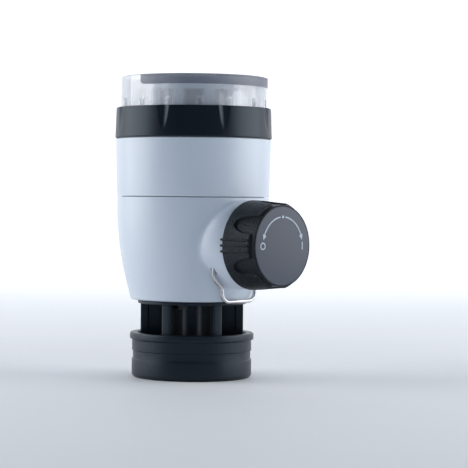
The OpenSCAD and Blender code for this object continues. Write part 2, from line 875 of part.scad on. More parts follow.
module filter_mesh() {
    mesh_r = insert_r - insert_wall - 0.05;
    color("gray") tube(mesh_r, mesh_r - mesh_t, base_top_z + 2 * eps, insert_top_z - 2 * eps);
}

module filter_collar() {
    color("#cfd4da") difference() {
        union() {
            rod(insert_r, insert_top_z - 3, insert_top_z);
            rod(insert_spigot_r, insert_top_z - 6, bowl_top_z - 0.3);
        }
        rod(insert_spigot_r - 2, insert_top_z - 7, bowl_top_z + 1);
        tube(insert_r + 1, insert_r - insert_wall - mesh_t - 0.2, insert_top_z - 7, insert_top_z);
    }
    color("#cfd4da") tube(insert_r, insert_spigot_r - 2, insert_top_z, insert_top_z + 1.5);
}

drain_cup();
airgap_cage();
cage_screws();
drain_nozzle();
nozzle_seal();
valve_housing();
bowl_housing();
tie_screws();
dirt_funnel();
funnel_seals();
ball_seats();
valve_bonnet();
bonnet_seal();
clear_bowl();
bowl_seal();
bowl_label();
filter_base();
filter_frame();
filter_mesh();
filter_collar();
valve_ball();
valve_stem();
stem_seals();
knob_body();
knob_face();
knob_marks();
knob_screw();
retaining_clip();
slip_ring();
union_nut();
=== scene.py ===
"""Backwash valve of a whole-house water pre-filter, with all that hangs from its bowl.

From the top: clear bowl, union nut, two-shell housing with flush knob and clip, air-gap cage, drain foot.
Lengths inside the surface functions are millimetres, and make_piece() turns them into metres.
"""

import json
import math

import bpy
import numpy as np
from mathutils import Matrix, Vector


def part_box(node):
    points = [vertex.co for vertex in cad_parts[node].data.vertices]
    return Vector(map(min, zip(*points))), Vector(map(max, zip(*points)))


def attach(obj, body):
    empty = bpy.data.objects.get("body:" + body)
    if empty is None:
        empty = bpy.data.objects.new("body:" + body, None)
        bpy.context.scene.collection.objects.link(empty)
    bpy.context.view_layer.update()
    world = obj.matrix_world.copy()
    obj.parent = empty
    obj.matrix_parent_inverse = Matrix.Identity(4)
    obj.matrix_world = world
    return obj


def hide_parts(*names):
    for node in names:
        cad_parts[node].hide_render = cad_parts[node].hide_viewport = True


bl_info = {
    "name": "Pre-filter backwash valve",
    "version": (1, 0, 0),
    "blender": (4, 5, 0),
    "location": "3D View > Sidebar > Pre-filter",
    "description": "Builds the looks of a water pre-filter's backwash valve round its CAD frame",
    "category": "Object",
}

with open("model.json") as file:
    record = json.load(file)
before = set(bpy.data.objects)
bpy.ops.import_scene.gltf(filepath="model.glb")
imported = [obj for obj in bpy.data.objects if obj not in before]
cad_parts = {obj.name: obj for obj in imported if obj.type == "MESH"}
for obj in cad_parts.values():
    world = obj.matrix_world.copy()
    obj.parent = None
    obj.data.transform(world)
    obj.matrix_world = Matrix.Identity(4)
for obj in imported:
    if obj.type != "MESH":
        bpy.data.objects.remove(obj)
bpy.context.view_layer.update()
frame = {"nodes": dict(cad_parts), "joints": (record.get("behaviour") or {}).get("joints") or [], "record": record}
MM = 0.001
TURN = 2 * math.pi
MOUNTS = {m["name"]: m for m in frame["record"]["mounts"]}
JOINTS = {j["name"]: j for j in frame["joints"]}


def low(node, axis):
    """Lowest place of a CAD node along an axis, in millimetres."""
    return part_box(node)[0]["xyz".index(axis)] / MM


def high(node, axis):
    """Highest place of a CAD node along an axis, in millimetres."""
    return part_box(node)[1]["xyz".index(axis)] / MM


# Places that the frame gives
KNOB_Z = JOINTS["knob_turn"]["pos_m"][2] / MM
BOSS_W = -low("valve_housing", "y")
KNOB_FRONT = -low("knob_face", "y")
SHELL_LOW = low("valve_housing", "z")
SHELL_TOP = high("valve_housing", "z")
SHELL_R = high("valve_housing", "x")
UPPER_TOP = low("union_nut", "z") - 0.4
COLLAR_R = high("clear_bowl", "x")
COLLAR_TOP = high("bowl_housing", "z")
NUT_LOW, NUT_TOP = low("union_nut", "z"), high("union_nut", "z")
NUT_R = high("union_nut", "x")
BOWL_LOW, BOWL_TOP = low("clear_bowl", "z"), high("clear_bowl", "z")
LABEL_LOW, LABEL_TOP = low("bowl_label", "z"), high("bowl_label", "z")
FOOT_H, LIP_R = high("drain_cup", "z"), high("drain_cup", "x")
FOOT_R = MOUNTS["drain_spigot"]["dims"]["r_mm"]
PIPE_R = MOUNTS["drain_socket"]["dims"]["r_mm"]
PIPE_DEPTH = MOUNTS["drain_socket"]["dims"]["length_mm"]
CLIP_W = -(low("retaining_clip", "y") + high("retaining_clip", "y")) / 2
WIRE_R = (high("retaining_clip", "y") - low("retaining_clip", "y")) / 2
CLIP_LOW = low("retaining_clip", "z") + WIRE_R - KNOB_Z
CLIP_TOP = high("retaining_clip", "z") - KNOB_Z

# Sizes that the frame's boxes don't give: the radius of the bowl's spigot, how far out along its axis the
# knob's back edge lies, the radius of the fan that closes the knob's middle, the radius of the clip's loop
# corners, and how far its knees lie below the knob's axis
BOWL_SPIGOT = 40.3
KNOB_BACK_EDGE = BOSS_W + 0.4
KNOB_HUB = 0.6
CLIP_BEND = 5.2
CLIP_KNEE = 18.48

# Edges that turn more than this stay sharp
SHARP_ANGLE = math.radians(38)


# ---- Outlines and surfaces ----


def rounded(corners, steps=6):
    """Closed outline through corners (x, y, radius), with an arc of that radius in place of each corner.

    The arc's centre lies on the corner's bisector at radius / sin(half angle). The arc starts and ends where
    it touches the two sides.
    """
    spots = np.array([c[:2] for c in corners], float)
    out = []
    for i, (x, y, radius) in enumerate(corners):
        here = np.array([x, y], float)
        back, ahead = spots[i - 1] - here, spots[(i + 1) % len(spots)] - here
        lengths = np.linalg.norm(back), np.linalg.norm(ahead)
        back, ahead = back / lengths[0], ahead / lengths[1]
        half = math.acos(float(np.clip(back @ ahead, -1, 1))) / 2
        reach = min(radius / math.tan(half), 0.45 * min(lengths)) if radius and half < 1.55 else 0
        if not reach:
            out.append(here[None])
            continue
        centre = here + (back + ahead) / np.linalg.norm(back + ahead) * reach / math.cos(half)
        start, end = here + back * reach - centre, here + ahead * reach - centre
        first = math.atan2(start[1], start[0])
        sweep = (math.atan2(end[1], end[0]) - first + math.pi) % TURN - math.pi
        angles = first + sweep * np.linspace(0, 1, steps + 1)
        out.append(centre + np.linalg.norm(start) * np.stack([np.cos(angles), np.sin(angles)], 1))
    return np.concatenate(out)


def dense(outline, step):
    """The closed outline with extra points, so that none of its sides is longer than step."""
    parts = []
    for a, b in zip(outline, np.roll(outline, -1, 0)):
        count = max(1, math.ceil(np.linalg.norm(b - a) / step))
        parts.append(a + (b - a) * np.linspace(0, 1, count, endpoint=False)[:, None])
    return np.concatenate(parts)


def grid_shell(points, capped=False):
    """Closed shell over a grid of points whose columns go round. Its rows do too, or its ends are capped."""
    rows, columns = points.shape[:2]
    index = np.arange(rows * columns).reshape(rows, columns)
    below = index[:-1] if capped else index
    above = index[1:] if capped else np.roll(index, -1, 0)
    quads = np.stack([below, np.roll(below, -1, 1), np.roll(above, -1, 1), above], -1).reshape(-1, 4)
    vertices = points.reshape(-1, 3)
    fans = np.zeros((0, 3), int)
    if capped:
        middle = len(vertices)
        vertices = np.concatenate([vertices, points[0].mean(0)[None], points[-1].mean(0)[None]])
        first, last = index[0], index[-1]
        fans = np.concatenate(
            [
                np.stack([np.roll(first, -1), first, np.full(columns, middle)], 1),
                np.stack([last, np.roll(last, -1), np.full(columns, middle + 1)], 1),
            ]
        )
    corners = np.concatenate([quads[:, :3], quads[:, [0, 2, 3]], fans])
    a, b, c = (vertices[corners[:, i]] for i in range(3))
    if np.einsum("ij,ij->", a, np.cross(b, c)) < 0:
        quads, fans = quads[:, ::-1], fans[:, ::-1]
    return vertices, quads, fans


def turned(outline, segments, radius=None, capped=False):
    """Shell that an outline (r, z) sweeps round Z. radius(r, z, angle), if given, reshapes r."""
    angle = np.arange(segments) * TURN / segments
    r = np.repeat(outline[:, :1], segments, 1)
    z = np.repeat(outline[:, 1:], segments, 1)
    if radius:
        r = radius(r, z, angle[None, :])
    points = np.stack([r * np.cos(angle), r * np.sin(angle), z], -1)
    return grid_shell(points, capped)


def extruded(outline, z0, z1):
    """Upright prism of a flat outline, with its two ends closed."""
    points = np.stack([np.concatenate([outline, np.full((len(outline), 1), z)], 1) for z in (z0, z1)])
    return grid_shell(points, capped=True)


def capsule(start, end, radius, sides=14, steps=5):
    """Round bar from start to end with half-round ends.

    An end is a row of circles of radius r sin(a), set r cos(a) past it, as a goes from 0 to a right angle.
    """
    start, end = np.array(start, float), np.array(end, float)
    along = (end - start) / np.linalg.norm(end - start)
    side = np.cross(along, [0.3, 0.5, 0.8])
    side /= np.linalg.norm(side)
    up = np.cross(along, side)
    bow = np.linspace(0.02, 1, steps) * math.pi / 2
    shift = np.concatenate([-np.cos(bow), np.cos(bow[::-1])]) * radius
    size = np.concatenate([np.sin(bow), np.sin(bow[::-1])]) * radius
    origin = np.concatenate([np.repeat(start[None], steps, 0), np.repeat(end[None], steps, 0)])
    turn = np.arange(sides) * TURN / sides
    ring = np.cos(turn)[:, None] * side + np.sin(turn)[:, None] * up
    points = (origin + shift[:, None] * along)[:, None] + size[:, None, None] * ring[None]
    return grid_shell(points, capped=True)


def moved(shell, matrix):
    """The shell through a 4 x 4 matrix."""
    turn, shift = np.array(matrix)[:3, :3], np.array(matrix)[:3, 3]
    return shell[0] @ turn.T + shift, shell[1], shell[2]


def on_knob_axis(shell):
    """Takes +Z of a shell out along the knob's axis, which is -Y of the frame."""
    return moved(shell, Matrix.Translation((0, 0, KNOB_Z)) @ Matrix.Rotation(math.pi / 2, 4, "X"))


def soft_min(a, b, blend):
    """Smaller of two fields, rounded over where they are within blend of each other."""
    mix = np.clip(0.5 + 0.5 * (b - a) / blend, 0, 1)
    return b + (a - b) * mix - blend * mix * (1 - mix)


def ease(x):
    """0 below 0, 1 above 1, and 3x^2 - 2x^3 between."""
    x = np.clip(x, 0, 1)
    return x * x * (3 - 2 * x)


def wrapped(angle, count, start):
    """Angle from the nearest of count evenly spaced directions."""
    pitch = TURN / count
    return (angle - start + pitch / 2) % pitch - pitch / 2


def make_piece(name, shells, material, body, node):
    """Joins shells into one smooth-shaded object that rides on a body and stands for a CAD node."""
    vertices = np.concatenate([s[0] for s in shells]) * MM
    faces, base = [], 0
    for points, quads, fans in shells:
        faces += (quads + base).tolist() + (fans + base).tolist()
        base += len(points)
    mesh = bpy.data.meshes.new(name)
    mesh.from_pydata(vertices.tolist(), [], faces)
    mesh.polygons.foreach_set("use_smooth", np.ones(len(faces), bool))
    mesh.set_sharp_from_angle(angle=SHARP_ANGLE)
    mesh.materials.append(material)
    piece = bpy.data.objects.new(name, mesh)
    bpy.context.scene.collection.objects.link(piece)
    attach(piece, body)
    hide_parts(node)
    return piece


# ---- Shader maths ----


class Signal:
    """A socket's value. Arithmetic on it adds Math nodes to its tree."""

    def __init__(self, finish, socket):
        self.finish, self.socket = finish, socket

    def math(self, operation, *others, **settings):
        """A Math node on this value and the others."""
        values = {i: v for i, v in enumerate((self, *others))}
        return self.finish.node("ShaderNodeMath", {"operation": operation, **settings}, values)[0]

    def __add__(self, other):
        return self.math("ADD", other)

    __radd__ = __add__

    def __sub__(self, other):
        return self.math("SUBTRACT", other)

    def __rsub__(self, other):
        return self.finish.node("ShaderNodeMath", {"operation": "SUBTRACT"}, {0: other, 1: self})[0]

    def __mul__(self, other):
        return self.math("MULTIPLY", other)

    __rmul__ = __mul__

    def clamp(self):
        """The value held between 0 and 1."""
        return self.math("ADD", 0.0, use_clamp=True)

    def above(self, edge, width):
        """0 below the edge, 1 once width past it."""
        return ((self - edge) * (1 / width)).clamp()


class Finish:
    """A node material: one Principled shader, and the nodes that feed it."""

    def __init__(self, name, **values):
        self.material = bpy.data.materials.new(name)
        self.material.use_nodes = True
        self.tree = self.material.node_tree
        self.shader = self.tree.nodes["Principled BSDF"]
        self.place = self.node("ShaderNodeTexCoord")["Object"]
        self.set(**values)

    def node(self, kind, settings=None, values=None):
        """Adds a node: settings first, then its sockets' values or links. Returns its outputs."""
        node = self.tree.nodes.new(kind)
        for key, value in (settings or {}).items():
            setattr(node, key, value)
        for key, value in (values or {}).items():
            self.feed(node.inputs[key], value)
        return Outputs(self, node)

    def feed(self, socket, value):
        """Links a Signal to a socket, or sets the socket to a plain value."""
        if isinstance(value, Signal):
            self.tree.links.new(value.socket, socket)
        elif isinstance(value, (int, float)) or socket.type != "RGBA":
            socket.default_value = value
        else:
            socket.default_value = (*value[:3], 1)

    def set(self, **values):
        """Sets the shader's sockets: base_color feeds Base Color, and so on."""
        for key, value in values.items():
            words = key.replace("_", " ").title().replace("Ior", "IOR")
            self.feed(self.shader.inputs[words], value)

    def noise(self, size, detail=3.0, rough=0.5, stretch=None, distortion=0.0):
        """Noise whose blobs are about size millimetres across, from 0 to 1."""
        place = self.place
        if stretch:
            place = self.node("ShaderNodeMapping", None, {"Vector": place, "Scale": stretch})[0]
        sockets = {"Vector": place, "Scale": 1 / (size * MM), "Detail": detail}
        sockets |= {"Roughness": rough, "Distortion": distortion}
        return self.node("ShaderNodeTexNoise", None, sockets)[0]

    def cells(self, size):
        """Distance to the nearest of scattered points, about size millimetres apart."""
        sockets = {"Vector": self.place, "Scale": 1 / (size * MM)}
        return self.node("ShaderNodeTexVoronoi", None, sockets)["Distance"]

    def axis(self, name):
        """Object coordinate along X, Y or Z, in millimetres."""
        return self.node("ShaderNodeSeparateXYZ", None, {0: self.place})[name] * (1 / MM)

    def blend(self, factor, first, second):
        """Colour that goes from first to second as factor goes from 0 to 1."""
        settings = {"data_type": "RGBA"}
        return self.node("ShaderNodeMix", settings, {0: factor, 6: first, 7: second})[2]

    def bump(self, height, depth, normal=None):
        """Normal of a height field that is depth millimetres deep."""
        sockets = {"Height": height, "Distance": depth * MM, "Strength": 1.0}
        if normal:
            sockets["Normal"] = normal
        return self.node("ShaderNodeBump", None, sockets)["Normal"]


class Outputs:
    """A node's outputs by name or number, each as a Signal."""

    def __init__(self, finish, node):
        self.finish, self.node = finish, node

    def __getitem__(self, key):
        return Signal(self.finish, self.node.outputs[key])


def tint(colour, amount):
    """The colour made lighter or darker by a factor."""
    return tuple(min(1.0, c * amount) for c in colour[:3])


def moulded(name, colour, roughness, grain=0.35, depth=0.004, mottle=0.05):
    """Injection-moulded plastic: faint cloudy colour, uneven gloss and a fine skin texture."""
    f = Finish(name, specular_ior_level=0.5)
    cloud = f.noise(14, 3)
    skin = f.noise(grain, 2)
    ripple = f.noise(9, 2)
    f.set(
        base_color=f.blend(cloud, tint(colour, 1 - mottle), tint(colour, 1 + mottle)),
        roughness=roughness - 0.05 + cloud * 0.06 + skin * 0.05,
        normal=f.bump(ripple, 0.02, f.bump(skin, depth)),
    )
    return f.material


def shell_plastic(name, colour):
    """Pale housing plastic: semi-gloss, with the long soft waves of a thick moulding and a few specks."""
    f = Finish(name, specular_ior_level=0.5, coat_roughness=0.22, coat_weight=0.25)
    cloud = f.noise(26, 3)
    skin = f.noise(0.5, 2)
    specks = f.noise(1.1, 1).above(0.74, 0.05)
    clouded = f.blend(cloud, tint(colour, 0.985), tint(colour, 1.015))
    f.set(
        base_color=f.blend(specks * 0.35, clouded, tint(colour, 0.82)),
        roughness=0.33 + cloud * 0.05 + skin * 0.05,
        normal=f.bump(f.noise(18, 2), 0.03, f.bump(skin, 0.0025)),
    )
    return f.material


def grained_black(name, colour):
    """Spark-eroded black grip plastic: a dense pebble grain, duller in its pits, with painted shade that darkens
    the pits and lightens the tops.
    """
    f = Finish(name, specular_ior_level=0.38, specular_tint=(0.70, 0.85, 1.0))
    pebble = f.cells(1.0)
    fine = f.noise(0.22, 3)
    rub = f.noise(7, 3).above(0.52, 0.25)
    f.set(
        # painted shade: the grain's pits are coloured darker and its tops lighter
        base_color=f.blend(pebble, tint(colour, 1.5), tint(colour, 0.7)),
        roughness=0.38 - rub * 0.06 + pebble * 0.16,
        normal=f.bump(pebble * -1.0 + fine * 0.3, 0.32),
    )
    return f.material


def satin_black(name, colour, roughness=0.34):
    """Smooth black plastic with a satin skin, faint flow lines and a few rub marks."""
    f = Finish(name, specular_ior_level=0.52, specular_tint=(0.62, 0.80, 1.0))
    flow = f.noise(5, 4, 0.55, stretch=(1, 1, 4))
    rub = f.noise(11, 4, 0.6, distortion=0.6).above(0.6, 0.12)
    skin = f.noise(0.28, 2)
    f.set(
        base_color=f.blend(rub * 0.5, tint(colour, 0.95), tint(colour, 1.5)),
        roughness=roughness + flow * 0.07 + rub * 0.06,
        normal=f.bump(flow, 0.008, f.bump(skin, 0.004)),
    )
    return f.material


def slate_plate(name, colour):
    """Satin lacquer on the knob's face: fine orange peel and hairline scuffs."""
    f = Finish(name, specular_ior_level=0.45, coat_weight=0.12, coat_roughness=0.3)
    peel = f.noise(0.7, 2)
    cloud = f.noise(12, 3)
    scuff = f.noise(2.2, 5, 0.7, stretch=(0.25, 1, 1.6), distortion=0.3).above(0.66, 0.05)
    clouded = f.blend(cloud, tint(colour, 0.97), tint(colour, 1.04))
    f.set(
        base_color=f.blend(scuff * 0.18, clouded, tint(colour, 1.5)),
        roughness=0.44 + cloud * 0.05 - scuff * 0.08,
        normal=f.bump(peel, 0.006),
    )
    return f.material


def print_ink(name, colour):
    """Printed ink with a slightly broken film."""
    f = Finish(name, specular_ior_level=0.3)
    thin = f.noise(0.5, 3).above(0.55, 0.3)
    f.set(
        base_color=f.blend(thin * 0.25, colour, tint(colour, 0.75)),
        roughness=0.5 + thin * 0.1,
        normal=f.bump(thin, 0.004),
    )
    return f.material


def drawn_steel(name, colour, roughness=0.2, line=0.25, stretch=(1, 1, 1), depth=0.006):
    """Metal with drawing or turning lines, smudges and a few dull spots."""
    f = Finish(name, metallic=1.0)
    lines = f.noise(line, 4, 0.6, stretch=stretch)
    smudge = f.noise(3.5, 3)
    f.set(
        base_color=f.blend(smudge, tint(colour, 0.86), tint(colour, 1.05)),
        roughness=roughness + lines * 0.1 + smudge * 0.08,
        normal=f.bump(lines, depth),
    )
    return f.material


def clear_plastic(name, colour):
    """Clear moulded bowl: mostly see-through, thicker to the eye at grazing angles, with a smooth gloss."""
    f = Finish(name, specular_ior_level=0.75, ior=1.49, transmission_weight=0.72)
    f.set(coat_weight=0.5, coat_roughness=0.03)
    graze = f.node("ShaderNodeLayerWeight", None, {"Blend": 0.35})["Facing"]
    haze = f.noise(8, 3)
    f.set(
        base_color=f.blend(graze, colour, tint(colour, 0.7)),
        alpha=0.66 + graze * 0.32 + haze * 0.04,
        roughness=0.04 + haze * 0.05,
        normal=f.bump(f.noise(6, 2), 0.02),
    )
    return f.material


def tinted_film(name, colour, top):
    """Smoky label film, with a plain row of ruler ticks along its upper edge, whose height is top."""
    f = Finish(name, specular_ior_level=0.5)
    x, y, z = (f.axis(a) for a in "XYZ")
    turn = y.math("ARCTAN2", x) * (360 / TURN)
    tick = (turn * 0.5).math("FRACT").above(0.72, 0.04)
    row = z.above(top - 1.3, 0.1)
    grain = f.noise(0.4, 2)
    film = f.blend(grain, tint(colour, 0.92), tint(colour, 1.08))
    f.set(
        base_color=f.blend(tick * row * 0.8, film, tint(colour, 0.25)),
        alpha=0.62 + grain * 0.05,
        roughness=0.3 + grain * 0.08,
        normal=f.bump(grain, 0.003),
    )
    return f.material


def woven_steel(name, colour, radius, pitch=0.5):
    """Fine filter weave round Z: wires that cross pitch millimetres apart, with open holes between them."""
    f = Finish(name, metallic=0.9)
    x, y, z = (f.axis(a) for a in "XYZ")
    round_way = y.math("ARCTAN2", x) * (radius / pitch * math.pi)
    warp = round_way.math("SINE").math("ABSOLUTE")
    weft = (z * (math.pi / pitch)).math("SINE").math("ABSOLUTE")
    hole = (warp.above(0.55, 0.15) * weft.above(0.55, 0.15)).clamp()
    f.set(
        base_color=f.blend(f.noise(4, 3), tint(colour, 0.8), colour),
        alpha=1 - hole * 0.6,
        roughness=0.35 + weft * 0.1,
        normal=f.bump(1 - warp * weft, 0.08),
    )
    return f.material


def painted_sweep(name, colour, start, end, glow):
    """Pale backdrop paper that glows more and more from start to end, metres behind the object."""
    f = Finish(name, specular_ior_level=0.2, emission_strength=glow)
    cloud = f.noise(180, 2)
    behind = f.node("ShaderNodeSeparateXYZ", None, {0: f.place})["Y"]
    f.set(
        base_color=f.blend(cloud, tint(colour, 0.99), colour),
        roughness=0.6 + cloud * 0.1,
        emission_color=f.blend(behind.above(start, end - start), (0, 0, 0), colour),
    )
    return f.material


# ---- Settings ----


def length(title, note, value):
    """A length setting, in metres, from a default in millimetres."""
    return bpy.props.FloatProperty(
        name=title, description=note, default=value * MM, min=0.0, subtype="DISTANCE"
    )


def degrees(title, note, value):
    """An angle setting, from a default in degrees."""
    value = math.radians(value)
    return bpy.props.FloatProperty(name=title, description=note, default=value, subtype="ANGLE")


def number(title, note, value):
    """A number of like features."""
    return bpy.props.IntProperty(name=title, description=note, default=value, min=3)


def colour(title, note, value):
    """A colour setting."""
    return bpy.props.FloatVectorProperty(
        name=title, description=note, default=value, size=3, min=0.0, max=1.0, subtype="COLOR"
    )


class FilterColours(bpy.types.PropertyGroup):
    housing: colour("Housing", "Colour of both housing shells", (0.68, 0.755, 0.86))
    black: colour("Black parts", "Colour of the nut, cage and foot", (0.0035, 0.0052, 0.0085))
    grip: colour("Knob grip", "Colour of the knob's grained body", (0.0030, 0.0038, 0.0055))
    slate: colour("Knob face", "Colour of the knob's face plate", (0.043, 0.058, 0.092))
    ink: colour("Marks", "Colour of the printed marks", (0.52, 0.60, 0.70))
    steel: colour("Steel", "Colour of the clip and screws", (0.62, 0.62, 0.63))
    bowl: colour("Bowl", "Colour of the clear bowl", (0.86, 0.89, 0.94))
    label: colour("Label", "Colour of the bowl's label film", (0.21, 0.23, 0.29))
    insert: colour("Insert", "Colour of the filter insert", (0.72, 0.78, 0.88))
    inner: colour("Inner plastic", "Colour of the funnel, bonnet and nozzle", (0.010, 0.013, 0.018))


class DrainSizes(bpy.types.PropertyGroup):
    groove_low: length("Groove start", "Height at which the foot's groove starts", 10.8)
    groove_high: length("Groove end", "Height at which the foot's groove ends", 15.8)
    groove_depth: length("Groove depth", "Depth of the foot's groove", 0.6)
    wall: length("Foot wall", "Wall of the drain foot", 3.1)
    rim: length("Rim height", "Height of the foot's rim", 4.3)
    cage: length("Cage radius", "Outer radius of the cage's posts", 30.1)
    flange: length("Flange radius", "Radius of the cage's top flange", 31.8)
    posts: number("Posts", "Number of cage posts", 6)
    post_start: degrees("Post start", "Direction of the first post", 15)
    post_width: length("Post width", "Width of a cage post", 5.5)
    post_depth: length("Post depth", "Depth of a cage post, towards the axis", 4.8)
    rib: length("Rib thickness", "Thickness of the rib behind a post", 3.0)
    rib_inside: length("Rib inside", "Distance of the ribs from the axis", 13.0)


class HousingSizes(bpy.types.PropertyGroup):
    taper: length("Taper", "How much the lower shell narrows to its bottom", 8.8)
    wall: length("Wall", "Wall of both shells", 2.6)
    boss: length("Boss radius", "Outer radius of the side boss", 24.5)
    spread: length("Boss spread", "How much wider the boss is at its foot", 2.9)
    fillet: length("Boss fillet", "Widest reach of the curve from the boss into the shell", 1.8)
    rim: length("Boss rim", "Radius of the boss's rounded rim", 0.7)
    bore: length("Boss bore", "Inner radius of the boss", 21.0)
    flare: length("Upper flare", "How much the upper shell widens to the nut", 0.8)


class BowlSizes(bpy.types.PropertyGroup):
    radius: length("Bowl radius", "Outer radius of the clear bowl", 42.9)
    wall: length("Bowl wall", "Wall of the clear bowl", 3.0)
    flutes: number("Flutes", "Number of flutes round the bowl's foot", 15)
    flute_start: degrees("Flute start", "Direction of the first flute", 13.5)
    rise: length("Flute rise", "Height of the flutes above the nut", 5.0)
    scallops: number("Scallops", "Number of finger scallops round the nut", 8)
    scallop_start: degrees("Scallop start", "Direction of the first scallop", 22.5)
    scallop_width: length("Scallop width", "Width of a scallop at the nut's top", 6.6)
    scallop_height: length("Scallop height", "Height of a scallop", 10.5)


class KnobSizes(bpy.types.PropertyGroup):
    radius: length("Knob radius", "Radius of the knob's lands at the back", 25.6)
    taper: length("Knob taper", "How much the knob narrows to the front", 1.1)
    land: length("Land height", "Height of the lands over the finger recesses", 1.5)
    land_length: length("Land length", "Length of the lands", 20.3)
    recess_width: length("Recess width", "Width of a finger recess at the front", 11.0)
    recess_length: length("Recess length", "Length of a finger recess", 14.5)
    recesses: number("Recesses", "Number of finger recesses", 6)
    recess_start: degrees("Recess start", "Direction of the first recess", 30)
    rim: length("Rim", "Width of the black rim round the face plate", 0.75)
    rib: length("Rib radius", "Radius of a grip rib", 0.72)
    loop_half: length("Clip loop", "Half the width of the clip's pull loop", 13.5)
    leg: length("Clip leg", "Distance of the clip's legs from the middle", 20.5)


class StageSettings(bpy.types.PropertyGroup):
    distance: length("Camera distance", "Distance of the camera from the body's axis", 1086.6)
    height: length("Camera height", "Height of the camera above the floor", 103.7)
    azimuth: degrees("Azimuth", "Camera direction", -45)
    roll: degrees("Roll", "Camera roll", 0.55)
    lens: bpy.props.FloatProperty(name="Lens", description="Focal length", default=142.2, unit="CAMERA")
    shift_x: bpy.props.FloatProperty(name="Shift X", description="Sideways lens shift", default=0.0876)
    shift_y: bpy.props.FloatProperty(name="Shift Y", description="Upward lens shift", default=-0.0726)
    floor: colour("Floor", "Colour of the floor", (0.86, 0.88, 0.91))
    glow: bpy.props.FloatProperty(name="Glow", description="Strength of the lit backdrop", default=1.0)


GROUPS = {
    "filter_colours": FilterColours,
    "filter_drain": DrainSizes,
    "filter_housing": HousingSizes,
    "filter_bowl": BowlSizes,
    "filter_knob": KnobSizes,
    "filter_stage": StageSettings,
}


def sizes(group):
    """A group's lengths in millimetres and its other values as they are."""
    props = getattr(bpy.context.scene, group)
    out = {}
    for key, prop in type(props).bl_rna.properties.items():
        if prop.type == "FLOAT" and not prop.is_array:
            out[key] = getattr(props, key) * (1 / MM if prop.subtype == "DISTANCE" else 1)
        elif key not in ("rna_type", "name"):
            out[key] = getattr(props, key)
    return type("Sizes", (), out)


def colours():
    """The colour settings, as plain tuples."""
    props = bpy.context.scene.filter_colours
    return type("Colours", (), {k: tuple(getattr(props, k)) for k in FilterColours.__annotations__})


# ---- Drain ----


def foot_shell(s):
    """The drain foot: a stepped band with a shallow groove, a rounded rim, and the pipe socket inside."""
    inside = FOOT_R - s.wall
    lip = FOOT_H - s.rim
    floor = low("airgap_cage", "z")
    ledge = PIPE_R - 3
    outline = rounded(
        [
            (PIPE_R, 0, 0.5),
            (FOOT_R, 0, 2.4),
            (FOOT_R, s.groove_low, 0.35),
            (FOOT_R - s.groove_depth, s.groove_low + 0.25, 0.25),
            (FOOT_R - s.groove_depth, s.groove_high - 0.15, 0.25),
            (FOOT_R - 0.05, s.groove_high + 0.1, 0.35),
            (FOOT_R - 0.1, lip, 0.45),
            (LIP_R, lip + 0.35, 1.0),
            (LIP_R, FOOT_H, 1.15),
            (inside, FOOT_H, 0.9),
            (inside, floor, 1.0),
            (ledge, floor, 0.6),
            (ledge, PIPE_DEPTH, 0.4),
            (PIPE_R, PIPE_DEPTH, 0.2),
        ],
        8,
    )
    return turned(outline, 256)


def cage_shells(s):
    """The air-gap cage: a foot ring, a top flange, and round-edged posts with deep ribs between them."""
    base, top = low("airgap_cage", "z"), high("airgap_cage", "z")
    inner, ring_r, ring_top = s.cage - s.post_depth, high("airgap_cage", "x"), base + 3
    flange = top - 2.0
    collar = high("drain_nozzle", "x") + 0.3
    ring = [(inner, base, 0.3), (ring_r, base, 0.3), (ring_r, ring_top, 0.5), (inner, ring_top, 0.5)]
    plate = [(collar, flange, 0.3), (s.flange, flange, 0.5), (s.flange, top, 0.4), (collar, top, 0.3)]
    half = s.post_width / 2
    post = rounded([(inner, -half, 0.7), (s.cage, -half, 0.8), (s.cage, half, 0.8), (inner, half, 0.7)])
    web, root = s.rib / 2, s.cage - 2
    rib = rounded([(s.rib_inside, -web, 1.2), (root, -web, 0.3), (root, web, 0.3), (s.rib_inside, web, 1.2)])
    posts = []
    for i in range(s.posts):
        turn = Matrix.Rotation(s.post_start + TURN / s.posts * i, 4, "Z")
        posts.append(moved(extruded(post, base + 2, flange + 0.3), turn))
        posts.append(moved(extruded(rib, FOOT_H - 1.3, flange + 0.4), turn))
    return [turned(rounded(ring, 4), 160), turned(rounded(plate, 5), 192), *posts]


# ---- Housing ----


def shell_radius(s, z):
    """Radius of the lower shell: it narrows below the seam with the 2.2nd power of the depth."""
    depth = 1 - np.clip((z - SHELL_LOW) / (SHELL_TOP + 0.2 - SHELL_LOW), 0, 1)
    return SHELL_R - s.taper * depth**2.2


def shell_depth(s, u, v):
    """Distance along the knob's axis to the shell's surface, at u across and v above that axis."""
    return np.sqrt(shell_radius(s, KNOB_Z + v) ** 2 - u**2)


def lower_shell(s):
    """The lower shell, one closed wall turned round Z."""
    floor, drain_r = SHELL_LOW + 3.2, 12
    rise = np.linspace(SHELL_LOW + 3, SHELL_TOP, 40)
    outer = np.stack([shell_radius(s, rise), rise], 1)
    bottom_r = shell_radius(s, SHELL_LOW + 1.5)
    corner = rounded([(drain_r, SHELL_LOW, 0), (bottom_r, SHELL_LOW, 2.4), (*outer[0], 0)], 8)[:-1]
    edge = np.array([[outer[-1, 0] - 0.05, SHELL_TOP - 0.12], [outer[-1, 0] - 0.3, SHELL_TOP]])
    inner = np.stack([outer[::-1, 0] - s.wall, outer[::-1, 1]], 1)
    inner = inner[inner[:, 1] > floor]
    outline = np.concatenate([corner, outer[:-1], edge, inner, [[inner[-1, 0], floor], [drain_r, floor]]])
    return turned(outline, 288)


